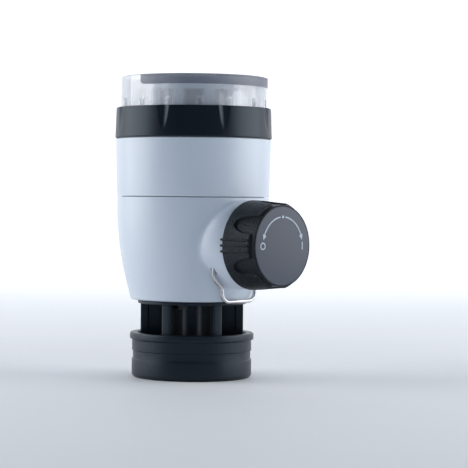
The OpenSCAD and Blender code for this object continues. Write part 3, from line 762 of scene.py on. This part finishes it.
def boss_shell(s):
    """The side boss: a slightly domed tube, whose foot meets the shell in a small curve that touches both.

    For each direction round the knob's axis, the tube's radius is boss + spread (1 - t^2), where t runs from
    its foot to its rim. The curve at the foot is a quadratic whose middle point is where the shell's tangent
    meets the tube's wall. Both are smaller at the top, where the seam passes close above. The spread is also
    smaller at the bottom, where the clip passes.
    """
    sides, bore_end, skin = 320, 28, 1.6
    turn = np.arange(sides) * TURN / sides
    across, up = np.cos(turn), np.sin(turn)
    seam = SHELL_TOP - 0.5 - KNOB_Z
    room = np.where(up > 0.3, seam / np.maximum(up, 0.3) - s.boss, 99)
    room = soft_min(room, np.full_like(room, s.spread + s.fillet), 1.2)
    spread = room * s.spread / (s.spread + s.fillet) * (1 - 0.75 * ease((-up - 0.15) / 0.5))
    reach = room * s.fillet / (s.spread + s.fillet)
    foot = s.boss + spread
    land = foot + reach
    small = 0.01
    landing = shell_depth(s, land * across, land * up)
    slope = (landing - shell_depth(s, (land - small) * across, (land - small) * up)) / small
    middle = landing - slope * reach
    run = np.linspace(0, 1, 11)[:, None]
    start_w = np.minimum(middle + reach, BOSS_W - 4)
    radii = (1 - run) ** 2 * land + (1 - (1 - run) ** 2) * foot
    depth = (1 - run) ** 2 * landing + 2 * run * (1 - run) * middle + run**2 * start_w
    climb = np.linspace(0, 1, 13)[1:, None]
    rim = s.rim
    wall_r = foot - spread * climb**2
    wall_w = start_w + (BOSS_W - rim - start_w) * climb
    bow = np.linspace(0, math.pi / 2, 6)[1:, None]
    rim_r = s.boss - rim + rim * np.cos(bow) + 0 * turn
    rim_w = BOSS_W - rim + rim * np.sin(bow) + 0 * turn
    bore_r = np.stack([s.bore + 0 * turn, s.bore + 0 * turn, land - 1.0])
    bore_w = np.stack([BOSS_W + 0 * turn, bore_end + 0 * turn, landing - skin])
    r = np.concatenate([radii, wall_r, rim_r, bore_r])
    w = np.concatenate([depth, wall_w, rim_w, bore_w])
    points = np.stack([r * across, -w, KNOB_Z + r * up], -1)
    return grid_shell(points)


def cut_boxes(piece, boxes):
    """Cuts boxes (lowest corner, highest corner), in millimetres, out of a piece's mesh."""
    pick = np.array([[x, y, z] for z in (0, 1) for y in (0, 1) for x in (0, 1)])
    sides = [(0, 2, 3, 1), (4, 5, 7, 6), (0, 1, 5, 4), (2, 6, 7, 3), (0, 4, 6, 2), (1, 3, 7, 5)]
    for lowest, highest in boxes:
        a, b = np.array(lowest) * MM, np.array(highest) * MM
        mesh = bpy.data.meshes.new("slot_cut")
        mesh.from_pydata((a + (b - a) * pick).tolist(), [], sides)
        cutter = bpy.data.objects.new("slot_cut", mesh)
        bpy.context.scene.collection.objects.link(cutter)
        cut = piece.modifiers.new("slot", "BOOLEAN")
        cut.operation, cut.solver, cut.object = "DIFFERENCE", "EXACT", cutter
        bpy.context.view_layer.update()
        made = bpy.data.meshes.new_from_object(piece.evaluated_get(bpy.context.evaluated_depsgraph_get()))
        piece.modifiers.remove(cut)
        piece.data = made
        bpy.data.objects.remove(cutter)
    piece.data.set_sharp_from_angle(angle=SHARP_ANGLE)


def upper_shell(s):
    """The upper shell: its register below, its collar above, and the ledge that carries the funnel."""
    z0 = SHELL_TOP + 0.4
    register_low, register_in, register_out = z0 - 2.2, 39.25, 41.75
    floor, trunk_r = z0 + 2.6, 21.5
    ledge, ledge_r = COLLAR_TOP - 18.9, BOWL_SPIGOT - 1.8
    outside = SHELL_R + 0.2
    inside = outside - s.wall
    outline = rounded(
        [
            (register_in, register_low, 0.2),
            (register_out, register_low, 0.2),
            (register_out, z0, 0.1),
            (outside, z0, 0.35),
            (outside + s.flare, UPPER_TOP, 0.5),
            (COLLAR_R, UPPER_TOP, 0.2),
            (COLLAR_R, COLLAR_TOP, 0.4),
            (BOWL_SPIGOT + 0.1, COLLAR_TOP, 0.2),
            (BOWL_SPIGOT + 0.1, ledge, 0.2),
            (ledge_r, ledge, 0.2),
            (ledge_r, ledge - 2.5, 0.5),
            (inside, ledge - 6, 0.8),
            (inside, floor, 0.5),
            (trunk_r, floor, 0.2),
            (trunk_r, z0, 0.2),
            (register_in, z0, 0.1),
        ],
        6,
    )
    return turned(outline, 256)


# ---- Bowl and nut ----


def nut_shell(s):
    """The union nut: a slightly tapered ring with bullet-nosed scallops.

    A scallop is a tilted round cut, whose depth rises evenly from its lower end to the nut's top.
    """
    top_r = NUT_R - 0.6
    lip = high("slip_ring", "z") + 0.2
    outline = rounded(
        [
            (COLLAR_R + 0.3, NUT_LOW, 0.3),
            (NUT_R, NUT_LOW, 0.8),
            (top_r, NUT_TOP, 0.5),
            (s.radius + 0.3, NUT_TOP, 0.3),
            (s.radius + 0.3, lip, 0.2),
            (COLLAR_R + 0.3, lip, 0.2),
        ],
        8,
    )
    outline = dense(outline, 0.6)
    cutter = 4.5
    deepest = cutter - math.sqrt(cutter**2 - s.scallop_width**2 / 4)

    def scalloped(r, z, angle):
        """The nut's radius, less the scallops."""
        off = np.abs(wrapped(angle, s.scallops, s.scallop_start))
        side = np.clip(r * np.sin(off), 0, cutter * 0.98)
        depth = deepest * (1 - (NUT_TOP - z) / s.scallop_height)
        cut = top_r + cutter - depth - np.sqrt(cutter**2 - side**2)
        cut = np.where(side < cutter * 0.97, cut, 1e3)
        outside = r > s.radius + 1.2
        return np.where(outside & (z > NUT_TOP - s.scallop_height - 3), soft_min(r, cut, 0.22), r)

    return turned(outline, 640, scalloped)


def bowl_shell(s):
    """The clear bowl: a round wall over its flange and spigot, with flutes that rise past the nut.

    A flute is a round rod cut out of the wall, with a ball at its upper end.
    """
    flange = COLLAR_TOP + 0.1
    top = flange + 3.3
    inside, spigot_in = s.radius - s.wall, BOWL_SPIGOT - 2.6
    outline = rounded(
        [
            (spigot_in, BOWL_LOW, 0.3),
            (BOWL_SPIGOT, BOWL_LOW, 0.6),
            (BOWL_SPIGOT, flange, 0.2),
            (COLLAR_R, flange, 0.3),
            (COLLAR_R, top, 0.3),
            (s.radius, top, 0.3),
            (s.radius, BOWL_TOP, 0.5),
            (inside, BOWL_TOP, 0.5),
            (inside, top + 2, 1.5),
            (spigot_in, flange - 2, 1.5),
        ],
        7,
    )
    outline = dense(outline, 0.8)
    flute_r, centre = 2.1, s.radius + 0.55
    arch = NUT_TOP + s.rise - flute_r

    def fluted(r, z, angle):
        """The bowl's radius, less the flutes."""
        off = np.abs(wrapped(angle, s.flutes, s.flute_start))
        side = r * np.sin(np.minimum(off, 0.3))
        over = np.maximum(z - arch, 0)
        room = flute_r**2 - side**2 - over**2
        cut = np.where(room > 0, centre - np.sqrt(np.maximum(room, 0)), 1e3)
        outside = (r > s.radius - 0.6) & (z > top + 0.2)
        return np.where(outside, soft_min(r, cut, 0.25), r)

    return turned(outline, 512, fluted)


def label_shell(s):
    """The label film: a band laid round the bowl, whose two ends have rounded lower corners.

    At height h below the corner's radius c, each end draws in by c - sqrt(c^2 - (c - h)^2).
    """
    start, end = math.radians(180), math.radians(380)
    corner, thick, gap = 2.2, 0.35, 0.07
    rise = np.linspace(0, LABEL_TOP - LABEL_LOW, 16)
    inset = corner - np.sqrt(np.maximum(corner**2 - np.maximum(corner - rise, 0) ** 2, 0))
    inset = inset / s.radius
    run = np.linspace(0, 1, 260)[:, None]
    angle = (start + inset) + run * ((end - inset) - (start + inset))
    height = np.broadcast_to(LABEL_LOW + rise, angle.shape)
    radii = (s.radius + gap, s.radius + gap + thick)
    back, front = (np.stack([r * np.cos(angle), r * np.sin(angle), height], -1) for r in radii)
    return grid_shell(np.concatenate([back, front[:, ::-1]], 1), capped=True)


# ---- Knob and clip ----


def knob_shell(s):
    """The knob's body: a tapered core, and over it a raised skin that finger recesses cut into lands.

    A recess is half an ellipse, with its tip at the back and its full width at the skin's front end. The
    skin's height follows the distance from the recess's edge: the ellipse's value less 1, over its slope.
    """
    face_r = s.radius - s.land - s.taper - s.rim
    front, floor, web = KNOB_FRONT, KNOB_FRONT - 2.2, KNOB_FRONT - 5.4
    skin_end = KNOB_BACK_EDGE + s.land_length
    tip = skin_end + 0.4 - s.recess_length
    rows = np.linspace(KNOB_BACK_EDGE, front - 0.5, 96)
    share = (rows - KNOB_BACK_EDGE) / (front - KNOB_BACK_EDGE)
    core = s.radius - s.land - s.taper * share
    edge_r, pocket_r = core[-1], face_r + 0.1
    back_face = [[KNOB_HUB, web], [face_r - 1, web]]
    back_face += [[face_r - 0.4, KNOB_BACK_EDGE + 0.6], [face_r + 0.2, KNOB_BACK_EDGE]]
    rim = [[edge_r - 0.15, front - 0.15], [edge_r - 0.4, front], [pocket_r, front]]
    pocket = [[pocket_r, floor], [KNOB_HUB, floor]]
    outline = np.concatenate([back_face, np.stack([core, rows], 1), rim, pocket])

    def skinned(r, w, angle):
        """The core's radius with the skin on it, drawn in at the back edge."""
        across = np.abs(wrapped(angle, s.recesses, s.recess_start)) * r
        ahead = np.maximum(tip + s.recess_length - w, 0) / s.recess_length
        half = s.recess_width / 2
        oval = np.sqrt((across / half) ** 2 + ahead**2) + 1e-6
        grade = np.sqrt((across / half**2) ** 2 + (ahead / s.recess_length) ** 2) / oval + 1e-6
        distance = (oval - 1) / grade
        skin = ease(distance / 0.4 + 0.5) * ease((skin_end - w) / 0.9)
        back = np.clip((w - KNOB_BACK_EDGE) / 0.8, 0, 1)
        skin = skin * s.land - 0.5 * (1 - np.sqrt(1 - (1 - back) ** 2))
        outer = (r > face_r + 0.3) & (w < front - 0.4)
        return np.where(outer, r + skin, r)

    return turned(outline, 760, skinned, capped=True)


def knob_ribs(s):
    """Three thin grip ribs on each side land, which start a little behind the knob's back edge."""
    start, end = KNOB_BACK_EDGE - 0.5, KNOB_BACK_EDGE + s.land_length - 1.6
    ribs = []
    for side in (0, 180):
        for off in (-7.5, 0, 7.5):
            a = math.radians(side + off)
            ends = ((s.radius, start), (s.radius - (s.taper - 0.1), end))
            ribs.append(capsule(*((r * math.cos(a), r * math.sin(a), w) for r, w in ends), s.rib))
    return ribs


def face_shell(s):
    """The knob's face plate, a disc with a fine eased edge."""
    edge = s.radius - s.land - s.taper - s.rim
    back, ease_r = KNOB_FRONT - 2.1, 0.3
    bow = np.linspace(0, math.pi / 2, 5)
    rim = np.stack([edge - ease_r + ease_r * np.sin(bow), KNOB_FRONT - ease_r + ease_r * np.cos(bow)], 1)
    outline = np.concatenate([[[KNOB_HUB, KNOB_FRONT]], rim, [[edge, back], [KNOB_HUB, back]]])
    return turned(outline, 256, capped=True)


def clip_path(s):
    """Centre line of the clip in its own plane, across and up from the knob's axis.

    The right half runs from the leg's top down to the knee, along an arc round the knob's axis, and through
    the loop's corner. Each bend between them is a quadratic. The left half is its mirror image.
    """
    arc_r = math.hypot(s.leg, CLIP_KNEE)
    knee = math.atan2(CLIP_KNEE, s.leg)
    hip = math.radians(57)
    angles = -np.linspace(knee + math.radians(5), hip, 14)
    arc = arc_r * np.stack([np.cos(angles), np.sin(angles)], 1)
    inner = s.loop_half - CLIP_BEND
    bend = -np.linspace(0, math.pi / 2, 12)
    corner = np.stack([inner + CLIP_BEND * np.cos(bend), CLIP_LOW + CLIP_BEND + CLIP_BEND * np.sin(bend)], 1)
    ankle = np.array([s.loop_half, arc[-1, 1] - (arc[-1, 0] - s.loop_half) * 0.8])

    def soft(a, b, c, reach):
        """Bend at b on the way from a to c, which starts and ends at reach from b."""
        t = np.linspace(0, 1, 9)[:, None]
        p, q = (b + reach * (e - b) / np.linalg.norm(e - b) for e in (a, c))
        return (1 - t) ** 2 * p + 2 * t * (1 - t) * b + t**2 * q

    top = np.array([s.leg, CLIP_TOP])
    turn_in = soft(top, arc_r * np.array([math.cos(knee), -math.sin(knee)]), arc[0], 2.0)
    turn_down = soft(arc[-1], ankle, corner[0], 2.2)
    right = np.concatenate([[top], turn_in, arc, turn_down, corner])
    return np.concatenate([right, right[::-1] * [-1, 1]])


def clip_shell(s, sides=24):
    """The clip's wire: a circle carried along its flat path, set across the path at each point."""
    path = clip_path(s)
    along = np.gradient(path, axis=0)
    across = np.stack([-along[:, 1], along[:, 0]], 1) / np.linalg.norm(along, axis=1)[:, None]
    turn = np.arange(sides) * TURN / sides
    flat = path[:, None] + WIRE_R * np.cos(turn)[None, :, None] * across[:, None]
    depth = CLIP_W + WIRE_R * np.sin(turn)[None, :] + np.zeros((len(path), 1))
    points = np.stack([flat[..., 0], -depth, KNOB_Z + flat[..., 1]], -1)
    return grid_shell(points, capped=True)


# ---- Operators ----


class FILTER_OT_drain(bpy.types.Operator):
    """Make the drain foot and the air-gap cage"""

    bl_idname = "prefilter.drain"
    bl_label = "Drain foot and cage"

    def execute(self, context):
        s, c = sizes("filter_drain"), colours()
        # painted shade: the foot gets a darker copy of the black parts' colour, standing in for shade
        foot_black = satin_black("foot_black", tint(c.black, 0.6), 0.36)
        cage_black = satin_black("cage_black", c.black, 0.38)
        make_piece("foot", [foot_shell(s)], foot_black, "housing", "drain_cup")
        make_piece("cage", cage_shells(s), cage_black, "housing", "airgap_cage")
        return {"FINISHED"}


class FILTER_OT_housing(bpy.types.Operator):
    """Make the two pale housing shells and the side boss"""

    bl_idname = "prefilter.housing"
    bl_label = "Housing shells"

    def execute(self, context):
        s, c = sizes("filter_housing"), colours()
        pale = shell_plastic("shell_pale", c.housing)
        make_piece("lower_shell", [lower_shell(s)], pale, "housing", "valve_housing")
        boss = make_piece("side_boss", [boss_shell(s)], pale, "housing", "valve_housing")
        gap, leg = WIRE_R + 0.35, sizes("filter_knob").leg
        slot_low, slot_top = KNOB_Z - s.boss - 6, KNOB_Z + 9
        near, far = -CLIP_W - gap, -CLIP_W + gap
        cut_boxes(boss, [((x - gap, near, slot_low), (x + gap, far, slot_top)) for x in (-leg, leg)])
        make_piece("upper_shell", [upper_shell(s)], pale, "housing", "bowl_housing")
        return {"FINISHED"}


class FILTER_OT_bowl(bpy.types.Operator):
    """Make the clear bowl, its label film and the union nut"""

    bl_idname = "prefilter.bowl"
    bl_label = "Bowl, label and nut"

    def execute(self, context):
        s, c = sizes("filter_bowl"), colours()
        clear = clear_plastic("bowl_clear", c.bowl)
        smoke = tinted_film("label_smoke", c.label, LABEL_TOP)
        # painted shade: the nut gets a darker copy of the black parts' colour, standing in for shade
        nut_black = satin_black("nut_black", tint(c.black, 0.7), 0.32)
        make_piece("bowl", [bowl_shell(s)], clear, "housing", "clear_bowl")
        make_piece("label_film", [label_shell(s)], smoke, "housing", "bowl_label")
        make_piece("nut_ring", [nut_shell(s)], nut_black, "nut", "union_nut")
        return {"FINISHED"}


class FILTER_OT_knob(bpy.types.Operator):
    """Make the flush knob: its grained body, grip ribs and face plate"""

    bl_idname = "prefilter.knob"
    bl_label = "Flush knob"

    def execute(self, context):
        s, c = sizes("filter_knob"), colours()
        grip = [on_knob_axis(shell) for shell in [knob_shell(s), *knob_ribs(s)]]
        face = [on_knob_axis(face_shell(s))]
        make_piece("knob_grip", grip, grained_black("grip_black", c.grip), "knob", "knob_body")
        make_piece("face_plate", face, slate_plate("plate_slate", c.slate), "knob", "knob_face")
        return {"FINISHED"}


class FILTER_OT_clip(bpy.types.Operator):
    """Make the retaining clip's bent wire"""

    bl_idname = "prefilter.clip"
    bl_label = "Wire clip"

    def execute(self, context):
        s, c = sizes("filter_knob"), colours()
        wire = drawn_steel("clip_steel", c.steel, 0.16, 0.3, depth=0.003)
        make_piece("clip_wire", [clip_shell(s)], wire, "clip", "retaining_clip")
        return {"FINISHED"}


class FILTER_OT_inner(bpy.types.Operator):
    """Give the CAD pieces that stay their finishes"""

    bl_idname = "prefilter.inner"
    bl_label = "Inner pieces"

    def execute(self, context):
        c = colours()
        dark = moulded("inner_dark", c.inner, 0.42)
        rubber = moulded("seal_rubber", (0.012, 0.012, 0.012), 0.7, 0.2, 0.006)
        seat = moulded("seat_white", (0.82, 0.82, 0.80), 0.45, 0.8, 0.003)
        insert = moulded("insert_grey", c.insert, 0.35, 0.6, 0.004, 0.04)
        steel = drawn_steel("screw_steel", c.steel, 0.3, 0.3)
        seals = ("nozzle_seal", "funnel_seals", "bonnet_seal", "bowl_seal", "stem_seals")
        finishes = {
            "drain_nozzle": satin_black("nozzle_black", c.black, 0.4),
            **dict.fromkeys(("dirt_funnel", "valve_bonnet"), dark),
            **dict.fromkeys(seals, rubber),
            **dict.fromkeys(("ball_seats", "slip_ring"), seat),
            **dict.fromkeys(("filter_base", "filter_frame", "filter_collar"), insert),
            **dict.fromkeys(("tie_screws", "knob_screw"), steel),
            "filter_mesh": woven_steel("mesh_steel", (0.62, 0.64, 0.67), 21),
            "cage_screws": drawn_steel("screw_black", (0.06, 0.06, 0.065), 0.4, 0.3),
            "valve_ball": drawn_steel("ball_chrome", (0.78, 0.78, 0.80), 0.08, 0.4, depth=0.001),
            "valve_stem": drawn_steel("stem_brass", (0.72, 0.50, 0.22), 0.25, 0.3, stretch=(1, 4, 1)),
            "knob_marks": print_ink("mark_ink", c.ink),
        }
        for node, material in finishes.items():
            piece = frame["nodes"][node]
            piece.data.materials.clear()
            piece.data.materials.append(material)
        return {"FINISHED"}


def soft_box(name, place, aim, size, power, colour):
    """A rectangular studio light at a place, turned to face a point."""
    light = bpy.data.lights.new(name, "AREA")
    light.shape, light.size, light.size_y = "RECTANGLE", *size
    light.energy, light.color = power, colour
    lamp = bpy.data.objects.new(name, light)
    place, aim = np.array(place), np.array(aim)
    back = (place - aim) / np.linalg.norm(place - aim)
    side = np.cross([0, 0, 1], back)
    side /= np.linalg.norm(side)
    up = np.cross(back, side)
    turn = np.eye(4)
    turn[:3, 0], turn[:3, 1], turn[:3, 2], turn[:3, 3] = side, up, back, place
    lamp.matrix_world = Matrix(turn.tolist())
    bpy.context.scene.collection.objects.link(lamp)


class FILTER_OT_stage(bpy.types.Operator):
    """Make the floor, the studio lights and the camera"""

    bl_idname = "prefilter.stage"
    bl_label = "Stage"

    def execute(self, context):
        s = context.scene.filter_stage
        scene = context.scene
        facing = Matrix.Rotation(s.azimuth, 4, "Z")
        bend, behind, ahead, wide, tall = 0.7, 1.1, 3.5, 4.0, 2.6
        bow = np.linspace(0, math.pi / 2, 24)
        line = np.stack([behind + bend * np.sin(bow), bend * (1 - np.cos(bow))], 1)
        line = np.concatenate([[[-ahead, 0], [0, 0]], line, [[behind + bend, tall]]])
        points = [(x, y, z) for x in (-wide, wide) for y, z in line]
        count = len(line)
        quads = [(i, i + count, i + count + 1, i + 1) for i in range(count - 1)]
        mesh = bpy.data.meshes.new("floor")
        mesh.from_pydata(points, [], quads)
        mesh.polygons.foreach_set("use_smooth", np.ones(len(quads), bool))
        mesh.materials.append(painted_sweep("floor_pale", tuple(s.floor), 0.1, behind + bend, s.glow))
        floor = bpy.data.objects.new("floor", mesh)
        floor.matrix_world = facing
        scene.collection.objects.link(floor)

        world = bpy.data.worlds.new("studio")
        world.use_nodes = True
        sky = world.node_tree.nodes["Background"]
        sky.inputs["Color"].default_value = (0.58, 0.78, 1.0, 1)
        sky.inputs["Strength"].default_value = 0.11
        scene.world = world
        scene.view_settings.view_transform = "Standard"

        def beside(right, back, up):
            """A point by the camera's view: metres to its right, away from it, and up."""
            return facing @ Matrix.Translation((right, back, up)).translation

        middle, warm, cool = (0, 0, 0.09), (1.0, 0.98, 0.97), (0.66, 0.84, 1.0)
        soft_box("left_box", beside(-0.82, 0.0, 0.26), middle, (0.75, 1.2), 7.6, warm)
        soft_box("right_box", beside(0.82, -0.04, 0.26), middle, (0.75, 1.2), 7.4, warm)
        soft_box("front_box", beside(0.15, -1.2, 0.95), middle, (1.0, 0.7), 1.85, cool)

        camera = bpy.data.cameras.new("camera")
        camera.lens, camera.sensor_width = s.lens, 36.0
        camera.shift_x, camera.shift_y = s.shift_x, s.shift_y
        camera.clip_end = 20.0
        eye = bpy.data.objects.new("camera", camera)
        place = Matrix.Translation((0, 0, s.height)) @ facing @ Matrix.Translation((0, -s.distance, 0))
        eye.matrix_world = place @ Matrix.Rotation(math.pi / 2, 4, "X") @ Matrix.Rotation(s.roll, 4, "Z")
        scene.collection.objects.link(eye)
        scene.camera = eye
        return {"FINISHED"}


OPERATORS = (
    FILTER_OT_drain,
    FILTER_OT_housing,
    FILTER_OT_bowl,
    FILTER_OT_knob,
    FILTER_OT_clip,
    FILTER_OT_inner,
    FILTER_OT_stage,
)


class FILTER_PT_panel(bpy.types.Panel):
    """Pre-filter settings and pieces"""

    bl_label = "Pre-filter backwash valve"
    bl_space_type = "VIEW_3D"
    bl_region_type = "UI"
    bl_category = "Pre-filter"

    def draw(self, context):
        for group in GROUPS:
            box = self.layout.box()
            props = getattr(context.scene, group)
            for key in type(props).__annotations__:
                box.prop(props, key)
        for operator in OPERATORS:
            self.layout.operator(operator.bl_idname)


def register():
    for cls in (*GROUPS.values(), *OPERATORS, FILTER_PT_panel):
        bpy.utils.register_class(cls)
    for name, group in GROUPS.items():
        setattr(bpy.types.Scene, name, bpy.props.PointerProperty(type=group))


def unregister():
    for name in GROUPS:
        delattr(bpy.types.Scene, name)
    for cls in reversed((*GROUPS.values(), *OPERATORS, FILTER_PT_panel)):
        bpy.utils.unregister_class(cls)


def main():
    register()
    for operator in OPERATORS:
        group, name = operator.bl_idname.split(".")
        getattr(getattr(bpy.ops, group), name)()


if __name__ == "__main__":
    main()
